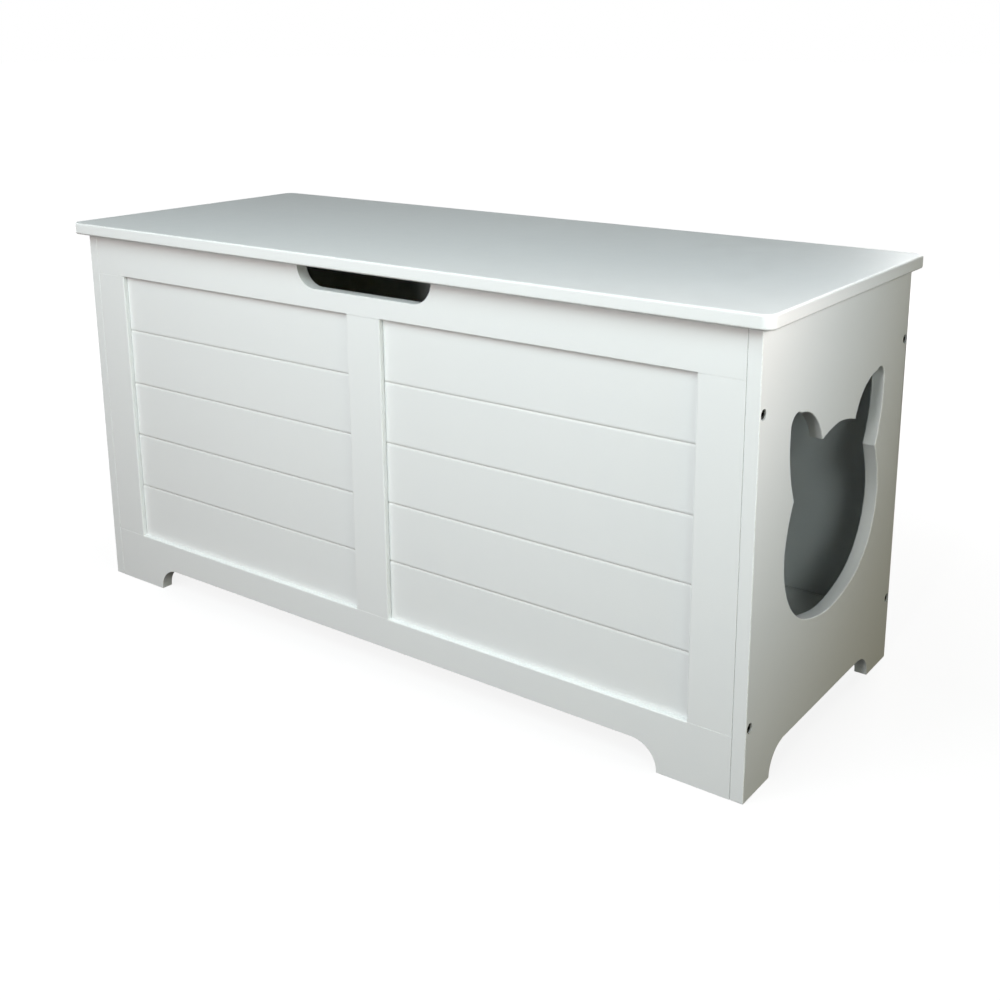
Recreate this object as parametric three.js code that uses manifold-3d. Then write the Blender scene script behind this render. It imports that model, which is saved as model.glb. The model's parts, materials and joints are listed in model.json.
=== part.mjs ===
// Cat litter box cabinet: a painted board bench with a hinged lid and a cat-head doorway in its right side.
// Millimetres. +X is to the right as seen from the front, +Y to the back, +Z up. The feet stand on z = 0.
// The pieces are made with the case's front face on y = 0, and one group then centres the cabinet on y.
import * as THREE from "three";
import { mergeVertices } from "three/addons/utils/BufferGeometryUtils.js";
import Module from "manifold-3d";

const wasm = await Module();
wasm.setup();

// ---- Overall sizes ----
const lidLength = 1000;
const lidDepth = 395;
const overallHeight = 495;
const lidThickness = 15;
const lidCornerRadius = 12;
const lidEdgeRound = 2.5;
const sideOverhang = 15;
const frontOverhang = 15;
const boardThickness = 15;
const clearance = 0.3; // between a piece and what it fits into or passes by

// ---- Front frame ----
const topRailHeight = 50;
const bottomRailHeight = 69;
const stileWidth = 50;
const postWidth = 50;
const panelRecess = 6;
const panelThickness = 6;
const tongueLength = 7;
const boardsPerPanel = 5;
const boardGrooveWidth = 3;
const boardGrooveDepth = 1.5;
const handCutWidth = 200;
const handCutRadius = 26.5;

// ---- Feet ----
const archHeight = 31;
const archSpring = 1; // upright part of a foot's inner edge, under the arch's round corner
const frontFootLength = 98;
const sideFootLength = 57.5;

// ---- Cat-head doorway in the right side ----
// Widths are half widths and heights are above the chin.
// A bulge is how far the arc to the next point stands out.
const chinHeight = 135;
const doorwayBehindMiddle = 3;
const forehead = { width: 0, height: 209, bulge: 1.4 };
const earFoot = { width: 43, height: 201, bulge: 10.4 };
const earTop = { width: 99, height: 242.5, bulge: 9 };
const earSide = { width: 122, height: 227.5, bulge: 5 };
const cheekNotch = { width: 106.5, height: 154.5, bulge: 2.6 };
const cheekSide = { width: 122.5, height: 104, bulge: 16.5 };
const jaw = { width: 68.5, height: 14.5, bulge: 3 };
const chin = { width: 0, height: 0 };

// ---- Inside ----
const floorTop = 66;
const floorThickness = 12;
const cleatSize = 20;
const dividerThickness = 12;
const dividerRight = 120; // its middle, to the right of the cabinet's middle
const dividerBelowTop = 40;
const passageWidth = 190;
const passageHeight = 230;
const passageSill = 45;
const passageRadius = 60;
const backHeightOverGround = 30;

// ---- Case screws ----
const caseScrewLength = 50;
const caseScrewHead = 5.2;
const caseScrewShank = 2.5;
const caseScrewHeadHeight = 4;
const caseScrewRim = 1;
const caseScrewSunk = 1.5;
const hexKey = 4;
const hexDepth = 3;
const lowScrewHeight = 80;
const highScrewBelowTop = 81;
const dividerScrewInset = 60;

// ---- Small countersunk screws ----
const smallHead = 2.8;
const smallHeadHeight = 1.8;
const smallRim = 0.3;
const smallShank = 1.4;
const leafScrewLength = 12;
const cleatScrewBite = 8; // of a cleat's screw in the board behind the cleat

// ---- Hinges ----
const hingeInset = 180; // from the case's end to the middle of a hinge
const hingeLength = 76;
const leafThickness = 0.85;
const leafScrewInset = 13; // from a leaf's end to its screw
const knuckleRadius = 2.5;
const knuckles = 5;
const hingePinRadius = 1.3;
const pinHeadRadius = 2.1;
const pinHeadHeight = 0.8;
const pinFit = 0.15;

// ---- Lid stay ----
const stayPivotForward = 42.8; // of the hinge axis
const stayPivotDown = 167;
const stayReach = 150; // from the hinge axis forward to the pivot on the closed lid
const stayDrop = 14; // of that pivot under the lid
const stayThickness = 2;
const armWidth = 16;
const rivetRadius = 2.5;
const rivetHeadRadius = 4.6;
const rivetHeadHeight = 1.4;
const stayFit = 0.35;
const wallPlateLength = 64;
const wallPlateWidth = 20;
const lidPlateLength = 44;
const lidPlateWidth = 16;
const lidPlateScrewSpacing = 30;

// ---- Bumpers ----
const bumperRadius = 5;
const bumperInset = 40;

// ---- Roundness: sides of a full circle, and steps of a curve ----
const screwSides = 20;
const pinSides = 16;
const smallScrewSides = 12;
const boardCurveSteps = 12;
const doorwayCurveSteps = 8;
const plateCurveSteps = 8;
const lidCornerSteps = 6;
const lidEdgeSteps = 3;
const overcut = 1; // by which a cutter runs past the face that it opens

// ---- Worked-out sizes ----
const lidGap = 2 * leafThickness + clearance; // between case and closed lid: two leaves, or a bumper
const bodyWidth = lidLength - 2 * sideOverhang;
const bodyDepth = lidDepth - frontOverhang;
const bodyHeight = overallHeight - lidThickness - lidGap;
const innerHalf = bodyWidth / 2 - boardThickness;
const innerBack = bodyDepth - boardThickness;
const lidBottom = bodyHeight + lidGap;
const hingeAxis = { y: bodyDepth + clearance + knuckleRadius, z: bodyHeight + lidGap / 2 };
const middleY = (hingeAxis.y + knuckleRadius - frontOverhang) / 2;
const openingTop = bodyHeight - topRailHeight;
const openingOuter = innerHalf - stileWidth;
const openingInner = postWidth / 2;
const frameMiddle = boardThickness / 2;
const doorwayMiddle = bodyDepth / 2 + doorwayBehindMiddle;

// ---- Finishes ----
const finishes = {
  paint: new THREE.MeshStandardMaterial({ color: 0xe7ebea, roughness: 0.42, metalness: 0 }),
  blackSteel: new THREE.MeshStandardMaterial({ color: 0x28261f, roughness: 0.45, metalness: 0.8 }),
  zinc: new THREE.MeshStandardMaterial({ color: 0xb9bcbd, roughness: 0.32, metalness: 0.95 }),
  rubber: new THREE.MeshStandardMaterial({ color: 0xd6d8d6, roughness: 0.8, metalness: 0 }),
};

// ---- Solids ----
function solid(geometry) {
  const bare = geometry.index ? geometry.toNonIndexed() : geometry.clone();
  bare.deleteAttribute("normal");
  bare.deleteAttribute("uv");
  const merged = mergeVertices(bare, 1e-4);
  const mesh = new wasm.Mesh({
    numProp: 3,
    vertProperties: new Float32Array(merged.attributes.position.array),
    triVerts: new Uint32Array(merged.index.array),
  });
  return new wasm.Manifold(mesh);
}

function geometryOf(made) {
  const mesh = made.getMesh();
  const positions = new Float32Array(mesh.numVert * 3);
  for (let i = 0; i < mesh.numVert; i++) {
    const start = i * mesh.numProp;
    positions.set(mesh.vertProperties.subarray(start, start + 3), i * 3);
  }
  const geometry = new THREE.BufferGeometry();
  geometry.setAttribute("position", new THREE.BufferAttribute(positions, 3));
  geometry.setIndex(new THREE.BufferAttribute(new Uint32Array(mesh.triVerts), 1));
  geometry.computeVertexNormals();
  return geometry;
}

function without(base, ...cutters) {
  return cutters.reduce((left, cutter) => left.subtract(cutter), base);
}

function together(base, ...others) {
  return others.reduce((sum, other) => sum.add(other), base);
}

// A box between two corners.
function block(x0, x1, y0, y1, z0, z1) {
  const geometry = new THREE.BoxGeometry(x1 - x0, y1 - y0, z1 - z0);
  geometry.translate((x0 + x1) / 2, (y0 + y1) / 2, (z0 + z1) / 2);
  return solid(geometry);
}

// An outline pushed along an axis. Outlines are drawn as (y, z) for x, (x, z) for y and (x, y) for z.
function pushed(outline, axis, from, to, curveSegments) {
  const geometry = new THREE.ExtrudeGeometry(outline, {
    depth: to - from,
    bevelEnabled: false,
    curveSegments,
  });
  const x = new THREE.Vector3(1, 0, 0);
  const y = new THREE.Vector3(0, 1, 0);
  const z = new THREE.Vector3(0, 0, 1);
  const turn = new THREE.Matrix4();
  if (axis === "x") turn.makeBasis(y, z, x).setPosition(from, 0, 0);
  if (axis === "y") turn.makeBasis(x, z, y.negate()).setPosition(0, to, 0);
  if (axis === "z") turn.setPosition(0, 0, from);
  return solid(geometry.applyMatrix4(turn));
}

// A body turned about its own axis: profile points are [radius, distance along the axis].
function turned(profile, at, direction, sides) {
  const points = profile.map(([radius, along]) => new THREE.Vector2(radius, along));
  const geometry = new THREE.LatheGeometry(points, sides);
  const up = new THREE.Vector3(0, 1, 0);
  const turn = new THREE.Quaternion().setFromUnitVectors(up, new THREE.Vector3(...direction));
  geometry.applyQuaternion(turn);
  geometry.translate(...at);
  return solid(geometry);
}

function rod(radius, at, direction, length, sides) {
  return turned([[0, 0], [radius, 0], [radius, length], [0, length]], at, direction, sides);
}

// The point that lies a distance behind another, seen along a direction.
function behind(at, direction, distance) {
  return at.map((value, i) => value - direction[i] * distance);
}

const cabinet = new THREE.Group();
cabinet.position.y = -middleY;

function piece(name, made, finish) {
  const mesh = new THREE.Mesh(geometryOf(made), finishes[finish]);
  mesh.name = name;
  cabinet.add(mesh);
}

// ---- Outlines ----

// A board that stands on two feet, with an arch between them.
function archedOutline(start, end, height, footStart, footEnd) {
  const outline = new THREE.Shape();
  const radius = archHeight - archSpring;
  outline.moveTo(start, 0);
  outline.lineTo(footStart, 0);
  outline.lineTo(footStart, archSpring);
  outline.absarc(footStart + radius, archSpring, radius, Math.PI, Math.PI / 2, true);
  outline.lineTo(footEnd - radius, archHeight);
  outline.absarc(footEnd - radius, archSpring, radius, Math.PI / 2, 0, true);
  outline.lineTo(footEnd, 0);
  outline.lineTo(end, 0);
  outline.lineTo(end, height);
  outline.lineTo(start, height);
  outline.closePath();
  return outline;
}

// Adds an arc from one point to the next that stands out by bulge to the left of the way between them.
function arcTo(path, from, to, bulge) {
  const chord = new THREE.Vector2().subVectors(to, from);
  const half = chord.length() / 2;
  const radius = (half * half + bulge * bulge) / (2 * Math.abs(bulge));
  const left = new THREE.Vector2(-chord.y, chord.x).normalize();
  const offset = Math.sign(bulge) * (Math.abs(bulge) - radius);
  const centre = new THREE.Vector2().addVectors(from, to).multiplyScalar(0.5);
  centre.addScaledVector(left, offset);
  const startAngle = Math.atan2(from.y - centre.y, from.x - centre.x);
  const endAngle = Math.atan2(to.y - centre.y, to.x - centre.x);
  path.absarc(centre.x, centre.y, radius, startAngle, endAngle, bulge > 0);
}

// The cat's head, from the forehead clockwise down to the chin and up its mirror image.
function catHeadOutline(middle, chinZ) {
  const stops = [forehead, earFoot, earTop, earSide, cheekNotch, cheekSide, jaw, chin];
  const bulges = stops.slice(0, -1).map((stop) => stop.bulge);
  const right = stops.map((stop) => new THREE.Vector2(middle + stop.width, chinZ + stop.height));
  const left = stops.map((stop) => new THREE.Vector2(middle - stop.width, chinZ + stop.height));
  const outline = new THREE.Shape();
  outline.moveTo(right[0].x, right[0].y);
  bulges.forEach((bulge, i) => arcTo(outline, right[i], right[i + 1], bulge));
  bulges.reverse();
  left.reverse();
  bulges.forEach((bulge, i) => arcTo(outline, left[i], left[i + 1], bulge));
  return outline;
}

function roundedRectangle(x0, x1, y0, y1, radius) {
  const outline = new THREE.Shape();
  outline.moveTo(x0 + radius, y0);
  outline.lineTo(x1 - radius, y0);
  outline.absarc(x1 - radius, y0 + radius, radius, -Math.PI / 2, 0, false);
  outline.lineTo(x1, y1 - radius);
  outline.absarc(x1 - radius, y1 - radius, radius, 0, Math.PI / 2, false);
  outline.lineTo(x0 + radius, y1);
  outline.absarc(x0 + radius, y1 - radius, radius, Math.PI / 2, Math.PI, false);
  outline.lineTo(x0, y0 + radius);
  outline.absarc(x0 + radius, y0 + radius, radius, Math.PI, Math.PI * 1.5, false);
  outline.closePath();
  return outline;
}

// A flat bar with round ends between two points.
function barOutline(a, b, width) {
  const angle = Math.atan2(b.y - a.y, b.x - a.x);
  const outline = new THREE.Shape();
  outline.absarc(a.x, a.y, width / 2, angle + Math.PI / 2, angle + Math.PI * 1.5, false);
  outline.absarc(b.x, b.y, width / 2, angle - Math.PI / 2, angle + Math.PI / 2, false);
  outline.closePath();
  return outline;
}

// ---- Screws ----

// A countersunk screw with a socket for a hexagonal key.
function caseScrewAt(at, direction) {
  const profile = [
    [0, 0],
    [caseScrewHead, 0],
    [caseScrewHead, caseScrewRim],
    [caseScrewShank, caseScrewHeadHeight],
    [caseScrewShank, caseScrewLength - 2 * caseScrewShank],
    [0, caseScrewLength],
  ];
  const socketStart = behind(at, direction, overcut);
  const socket = rod(hexKey / Math.sqrt(3), socketStart, direction, hexDepth + overcut, 6);
  return turned(profile, at, direction, screwSides).subtract(socket);
}

// The stepped hole that a case screw needs, open at its head.
function caseScrewHoleAt(at, direction) {
  const lead = caseScrewSunk + overcut;
  const wide = caseScrewHead + clearance;
  const narrow = caseScrewShank + clearance;
  const end = caseScrewLength + clearance;
  const profile = [
    [0, -lead],
    [wide, -lead],
    [wide, caseScrewRim + clearance],
    [narrow, caseScrewHeadHeight + clearance],
    [narrow, end],
    [0, end],
  ];
  return turned(profile, at, direction, screwSides);
}

// A small screw's outline: grow widens it into the hole that it needs, and lead opens the hole above its head.
function smallScrewProfile(length, grow, lead) {
  return [
    [0, -lead],
    [smallHead + grow, -lead],
    [smallHead + grow, smallRim + grow],
    [smallShank + grow, smallHeadHeight + grow],
    [smallShank + grow, length - 2 * smallShank],
    [0, length + grow],
  ];
}

function smallScrewAt(at, direction, length) {
  return turned(smallScrewProfile(length, 0, 0), at, direction, smallScrewSides);
}

function smallScrewHoleAt(at, direction, length) {
  const profile = smallScrewProfile(length, clearance, clearance / 2);
  return turned(profile, at, direction, smallScrewSides);
}

// ---- Places of the case screws ----
const highScrewHeight = bodyHeight - highScrewBelowTop;
const sideScrews = [];
for (const side of ["left", "right"]) {
  for (const end of ["front", "back"]) {
    for (const level of ["low", "high"]) {
      const sign = side === "left" ? -1 : 1;
      const y = end === "front" ? frameMiddle : bodyDepth - frameMiddle;
      const z = level === "low" ? lowScrewHeight : highScrewHeight;
      const at = [sign * (bodyWidth / 2 - caseScrewSunk), y, z];
      sideScrews.push({ name: `side_screw_${side}_${end}_${level}`, at, direction: [-sign, 0, 0] });
    }
  }
}

const backScrews = [];
const floorScrews = [];
for (const level of ["low", "high"]) {
  const low = floorTop + dividerScrewInset;
  const high = bodyHeight - dividerBelowTop - dividerScrewInset;
  const at = [dividerRight, bodyDepth - caseScrewSunk, level === "low" ? low : high];
  backScrews.push({ name: `divider_screw_back_${level}`, at, direction: [0, -1, 0] });
}
for (const end of ["front", "back"]) {
  const inset = boardThickness + dividerScrewInset;
  const y = end === "front" ? inset : bodyDepth - inset;
  const at = [dividerRight, y, floorTop - floorThickness + caseScrewSunk];
  floorScrews.push({ name: `divider_screw_floor_${end}`, at, direction: [0, 0, 1] });
}

function holesFor(screws) {
  return screws.map((screw) => caseScrewHoleAt(screw.at, screw.direction));
}

const sideHoles = holesFor(sideScrews);
const dividerHoles = holesFor([...backScrews, ...floorScrews]);

// ---- Places of the hinges, stay and cleat screws ----
const hingeMiddles = { left: -bodyWidth / 2 + hingeInset, right: bodyWidth / 2 - hingeInset };
const leafMiddleY = bodyDepth - boardThickness / 2;
const bodyLeafTop = bodyHeight + leafThickness;
const lidLeafBottom = lidBottom - leafThickness;

const leafScrews = [];
for (const [side, middle] of Object.entries(hingeMiddles)) {
  for (const [end, step] of Object.entries({ left: -1, right: 1 })) {
    const x = middle + step * (hingeLength / 2 - leafScrewInset);
    leafScrews.push({
      name: `hinge_${side}_case_screw_${end}`,
      at: [x, leafMiddleY, bodyLeafTop],
      direction: [0, 0, -1],
    });
    leafScrews.push({
      name: `hinge_${side}_lid_screw_${end}`,
      at: [x, leafMiddleY, lidLeafBottom],
      direction: [0, 0, 1],
    });
  }
}

const stay = {
  wallPivot: new THREE.Vector2(hingeAxis.y - stayPivotForward, hingeAxis.z - stayPivotDown),
  lidPivot: new THREE.Vector2(hingeAxis.y - stayReach, lidBottom - stayDrop),
  wall: -innerHalf,
};
// The arms and the two pivots make a parallelogram with the hinge axis, so the elbow follows the lid exactly.
stay.elbow = new THREE.Vector2(
  stay.wallPivot.x + stay.lidPivot.x - hingeAxis.y,
  stay.wallPivot.y + stay.lidPivot.y - hingeAxis.z,
);
const layer = stayThickness + clearance;
stay.lowerArm = stay.wall + layer;
stay.upperArm = stay.lowerArm + layer;
stay.bracket = stay.upperArm + layer;

const wallPlateReach = (wallPlateLength - wallPlateWidth) / 2; // from the pivot to either screw
const wallScrews = [];
for (const [level, step] of Object.entries({ high: 1, low: -1 })) {
  const z = stay.wallPivot.y + step * wallPlateReach;
  wallScrews.push({
    name: `stay_wall_screw_${level}`,
    at: [stay.wall + stayThickness, stay.wallPivot.x, z],
    direction: [-1, 0, 0],
  });
}
const lidPlateScrews = [];
for (const [end, step] of Object.entries({ front: -1, back: 1 })) {
  const x = stay.bracket + (stayThickness + lidPlateWidth) / 2;
  const y = stay.lidPivot.x + (step * lidPlateScrewSpacing) / 2;
  lidPlateScrews.push({
    name: `stay_lid_screw_${end}`,
    at: [x, y, lidBottom - stayThickness],
    direction: [0, 0, 1],
  });
}

const cleatTop = floorTop - floorThickness;
const cleatScrews = [];
for (const end of ["front", "back"]) {
  for (const [side, sign] of Object.entries({ left: -1, right: 1 })) {
    const inside = end === "front" ? boardThickness + cleatSize : innerBack - cleatSize;
    cleatScrews.push({
      name: `cleat_screw_${end}_${side}`,
      at: [sign * openingOuter, inside, cleatTop - cleatSize / 2],
      direction: [0, end === "front" ? -1 : 1, 0],
    });
  }
}

function smallHolesFor(screws, length) {
  return screws.map((screw) => smallScrewHoleAt(screw.at, screw.direction, length));
}

const leafHoles = smallHolesFor(leafScrews, leafScrewLength);
const wallHoles = smallHolesFor(wallScrews, leafScrewLength);
const lidPlateHoles = smallHolesFor(lidPlateScrews, leafScrewLength);
const cleatScrewLength = cleatSize + cleatScrewBite;
const cleatHoles = smallHolesFor(cleatScrews, cleatScrewLength);

// ---- Side boards ----
function sideBoard(from) {
  const outline = archedOutline(0, bodyDepth, bodyHeight, sideFootLength, bodyDepth - sideFootLength);
  const board = pushed(outline, "x", from, from + boardThickness, boardCurveSteps);
  return without(board, ...sideHoles);
}

function doorway() {
  const outline = catHeadOutline(doorwayMiddle, chinHeight);
  return pushed(outline, "x", innerHalf - overcut, bodyWidth / 2 + overcut, doorwayCurveSteps);
}

piece("side_left", without(sideBoard(-bodyWidth / 2), ...wallHoles), "paint");
piece("side_right", sideBoard(innerHalf).subtract(doorway()), "paint");

// ---- Front frame: rails over the whole width, stiles and post between them, panels in grooves ----
const panelFront = panelRecess;
const panelBack = panelRecess + panelThickness;
const tongue = tongueLength - clearance;

function grooveAlong(x0, x1, z0, z1) {
  return block(x0, x1, panelFront - clearance, panelBack + clearance, z0, z1);
}

function topRail() {
  const outline = new THREE.Shape();
  const half = handCutWidth / 2;
  const arcX = half - handCutRadius;
  outline.moveTo(-innerHalf, openingTop);
  outline.lineTo(innerHalf, openingTop);
  outline.lineTo(innerHalf, bodyHeight);
  outline.lineTo(half, bodyHeight);
  outline.absarc(arcX, bodyHeight, handCutRadius, 0, -Math.PI / 2, true);
  outline.lineTo(-arcX, bodyHeight - handCutRadius);
  outline.absarc(-arcX, bodyHeight, handCutRadius, -Math.PI / 2, -Math.PI, true);
  outline.lineTo(-innerHalf, bodyHeight);
  outline.closePath();
  const end = innerHalf + overcut;
  const groove = grooveAlong(-end, end, openingTop - overcut, openingTop + tongueLength);
  return pushed(outline, "y", 0, boardThickness, boardCurveSteps).subtract(groove);
}

function bottomRail() {
  const foot = bodyWidth / 2 - frontFootLength;
  const outline = archedOutline(-innerHalf, innerHalf, bottomRailHeight, -foot, foot);
  const end = innerHalf + overcut;
  const groove = grooveAlong(-end, end, bottomRailHeight - tongueLength, bottomRailHeight + overcut);
  return without(pushed(outline, "y", 0, boardThickness, boardCurveSteps), groove, ...cleatHoles);
}

// An upright of the frame, with a tongue at each end and a groove where a panel enters.
function upright(x0, x1, grooves) {
  const body = block(x0, x1, 0, boardThickness, bottomRailHeight, openingTop);
  const low = bottomRailHeight - tongue;
  const high = openingTop + tongue;
  const tongues = block(x0, x1, panelFront, panelBack, low, high);
  const cuts = grooves.map(([a, b]) => grooveAlong(a, b, low - overcut, high + overcut));
  return without(body.add(tongues), ...cuts);
}

const grooveOuter = openingOuter + tongueLength;
const grooveInner = openingInner - tongueLength;
piece("front_top_rail", topRail(), "paint");
piece("front_bottom_rail", bottomRail(), "paint");
const leftStile = upright(-innerHalf, -openingOuter, [[-grooveOuter, -openingOuter + overcut]]);
const rightStile = upright(openingOuter, innerHalf, [[openingOuter - overcut, grooveOuter]]);
piece("front_stile_left", without(leftStile, ...sideHoles), "paint");
piece("front_stile_right", without(rightStile, ...sideHoles), "paint");
const postGrooves = [[-openingInner - overcut, -grooveInner], [grooveInner, openingInner + overcut]];
piece("front_post", upright(-openingInner, openingInner, postGrooves), "paint");

// A panel of equal boards, parted by V grooves in its face.
function frontPanel(x0, x1) {
  const low = bottomRailHeight - tongue;
  const body = block(x0, x1, panelFront, panelBack, low, openingTop + tongue);
  const boardHeight = (openingTop - bottomRailHeight) / boardsPerPanel;
  const cuts = [];
  for (let i = 1; i < boardsPerPanel; i++) {
    const z = bottomRailHeight + i * boardHeight;
    const vee = new THREE.Shape();
    vee.moveTo(panelFront - boardGrooveDepth, z - boardGrooveWidth);
    vee.lineTo(panelFront + boardGrooveDepth, z);
    vee.lineTo(panelFront - boardGrooveDepth, z + boardGrooveWidth);
    vee.closePath();
    cuts.push(pushed(vee, "x", x0 - overcut, x1 + overcut, 1));
  }
  return without(body, ...cuts);
}

const panelOuter = openingOuter + tongue;
const panelInner = openingInner - tongue;
piece("front_panel_left", frontPanel(-panelOuter, -panelInner), "paint");
piece("front_panel_right", frontPanel(panelInner, panelOuter), "paint");

// ---- Back, floor, cleats and divider ----
const backBoard = block(-innerHalf, innerHalf, innerBack, bodyDepth, backHeightOverGround, bodyHeight);
const backHoles = [...sideHoles, ...dividerHoles, ...leafHoles, ...cleatHoles];
piece("back_board", without(backBoard, ...backHoles), "paint");

const floorBoard = block(
  -innerHalf + clearance,
  innerHalf - clearance,
  boardThickness + clearance,
  innerBack - clearance,
  cleatTop,
  floorTop,
);
piece("floor_board", without(floorBoard, ...dividerHoles), "paint");

function cleat(y0, y1) {
  const ends = innerHalf - clearance;
  return without(block(-ends, ends, y0, y1, cleatTop - cleatSize, cleatTop), ...cleatHoles);
}

piece("floor_cleat_front", cleat(boardThickness, boardThickness + cleatSize), "paint");
piece("floor_cleat_back", cleat(innerBack - cleatSize, innerBack), "paint");

function divider() {
  const front = boardThickness + clearance;
  const top = bodyHeight - dividerBelowTop;
  const left = dividerRight - dividerThickness / 2;
  const right = dividerRight + dividerThickness / 2;
  const sill = floorTop + passageSill;
  const half = passageWidth / 2;
  const hole = roundedRectangle(
    doorwayMiddle - half,
    doorwayMiddle + half,
    sill,
    sill + passageHeight,
    passageRadius,
  );
  const passage = pushed(hole, "x", left - overcut, right + overcut, boardCurveSteps);
  return without(block(left, right, front, innerBack, floorTop, top), passage, ...dividerHoles);
}

piece("divider", divider(), "paint");

// ---- Case screws ----
for (const screw of [...sideScrews, ...backScrews, ...floorScrews]) {
  piece(screw.name, caseScrewAt(screw.at, screw.direction), "blackSteel");
}

for (const screw of cleatScrews) {
  piece(screw.name, smallScrewAt(screw.at, screw.direction, cleatScrewLength), "zinc");
}

// ---- Lid ----
// A slab with rounded corners, whose upper and lower edges are rounded in a few steps.
function lidBoard() {
  const x = lidLength / 2;
  const y0 = -frontOverhang;
  const y1 = bodyDepth;
  const slice = (inset, z0, z1) => {
    const radius = lidCornerRadius - inset;
    const outline = roundedRectangle(-x + inset, x - inset, y0 + inset, y1 - inset, radius);
    return pushed(outline, "z", z0, z1, lidCornerSteps);
  };
  const slices = [slice(0, lidBottom + lidEdgeRound, overallHeight - lidEdgeRound)];
  for (let i = 0; i < lidEdgeSteps; i++) {
    const start = (i / lidEdgeSteps) * (Math.PI / 2);
    const end = ((i + 1) / lidEdgeSteps) * (Math.PI / 2);
    const inset = lidEdgeRound * (1 - Math.cos((start + end) / 2));
    const near = lidEdgeRound * (1 - Math.sin(start));
    const far = lidEdgeRound * (1 - Math.sin(end));
    slices.push(slice(inset, lidBottom + far, lidBottom + near));
    slices.push(slice(inset, overallHeight - near, overallHeight - far));
  }
  return together(...slices);
}

piece("lid", without(lidBoard(), ...leafHoles, ...lidPlateHoles), "paint");

// ---- Butt hinges ----
const knuckleLength = hingeLength / knuckles;

function knuckle(start, first) {
  const x = start + first * knuckleLength;
  const at = [x + clearance / 2, hingeAxis.y, hingeAxis.z];
  return rod(knuckleRadius, at, [1, 0, 0], knuckleLength - clearance, pinSides);
}

// One leaf with its own knuckles: the case leaf has the odd ones, the lid leaf the even ones.
function hingeLeaf(middle, offset, z0, z1) {
  const start = middle - hingeLength / 2;
  const inner = innerBack + clearance;
  const plate = block(start, start + hingeLength, inner, bodyDepth - clearance, z0, z1);
  const own = [];
  for (let i = offset; i < knuckles; i += 2) {
    const x = start + i * knuckleLength;
    const tab = [x + clearance / 2, x + knuckleLength - clearance / 2];
    own.push(block(...tab, inner, hingeAxis.y, z0, z1));
    own.push(knuckle(start, i));
  }
  const boreStart = [start - overcut, hingeAxis.y, hingeAxis.z];
  const boreLength = hingeLength + 2 * overcut;
  const bore = rod(hingePinRadius + pinFit, boreStart, [1, 0, 0], boreLength, pinSides);
  return without(together(plate, ...own), bore, ...leafHoles);
}

// The pin's head stands off the first knuckle by the pin's fit, and its plain end stands out as far.
function hingePin(middle) {
  const start = middle - hingeLength / 2 - pinHeadHeight;
  const length = hingeLength + 2 * pinHeadHeight;
  const profile = [
    [0, 0],
    [pinHeadRadius, 0],
    [pinHeadRadius, pinHeadHeight - pinFit],
    [hingePinRadius, pinHeadHeight - pinFit],
    [hingePinRadius, length],
    [0, length],
  ];
  return turned(profile, [start, hingeAxis.y, hingeAxis.z], [1, 0, 0], pinSides);
}

for (const [side, middle] of Object.entries(hingeMiddles)) {
  piece(`hinge_${side}_case_leaf`, hingeLeaf(middle, 0, bodyHeight, bodyLeafTop), "zinc");
  piece(`hinge_${side}_lid_leaf`, hingeLeaf(middle, 1, lidLeafBottom, lidBottom), "zinc");
  piece(`hinge_${side}_pin`, hingePin(middle), "zinc");
}

for (const screw of leafScrews) {
  piece(screw.name, smallScrewAt(screw.at, screw.direction, leafScrewLength), "zinc");
}

// ---- Lid stay ----
function stayPlate(outline, from) {
  return pushed(outline, "x", from, from + stayThickness, plateCurveSteps);
}

// A hole through every layer of the stay, from its wall plate to its lid bracket.
function pivotHole(at) {
  const start = stay.wall - overcut;
  const length = stay.bracket + stayThickness + overcut - start;
  return rod(rivetRadius + stayFit, [start, at.x, at.y], [1, 0, 0], length, pinSides);
}

// A rivet that holds what lies between two places, with a head past the far one, and past the near one too
// where nearHead is true.
function rivet(at, from, to, nearHead) {
  const shank = [[rivetRadius, from], [rivetRadius, to]];
  const end = to + rivetHeadHeight;
  const farHead = [[rivetHeadRadius, to], [rivetHeadRadius, end], [0, end]];
  const start = from - rivetHeadHeight;
  const foot = nearHead ? [[0, start], [rivetHeadRadius, start], [rivetHeadRadius, from]] : [[0, from]];
  return turned([...foot, ...shank, ...farHead], [0, at.x, at.y], [1, 0, 0], pinSides);
}

function wallPlate() {
  const low = new THREE.Vector2(stay.wallPivot.x, stay.wallPivot.y - wallPlateReach);
  const high = new THREE.Vector2(stay.wallPivot.x, stay.wallPivot.y + wallPlateReach);
  const plate = stayPlate(barOutline(low, high, wallPlateWidth), stay.wall);
  return without(plate, pivotHole(stay.wallPivot), ...wallHoles);
}

function stayArm(from, a, b) {
  return without(stayPlate(barOutline(a, b, armWidth), from), pivotHole(a), pivotHole(b));
}

// An angle bracket: one leg under the lid, the other hanging beside the upper arm.
function lidBracket() {
  const y0 = stay.lidPivot.x - lidPlateLength / 2;
  const y1 = stay.lidPivot.x + lidPlateLength / 2;
  const x1 = stay.bracket + lidPlateWidth;
  const under = block(stay.bracket, x1, y0, y1, lidBottom - stayThickness, lidBottom);
  const top = new THREE.Vector2(stay.lidPivot.x, lidBottom - armWidth / 2);
  const hanging = stayPlate(barOutline(stay.lidPivot, top, armWidth), stay.bracket);
  return without(under.add(hanging), pivotHole(stay.lidPivot), ...lidPlateHoles);
}

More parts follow.
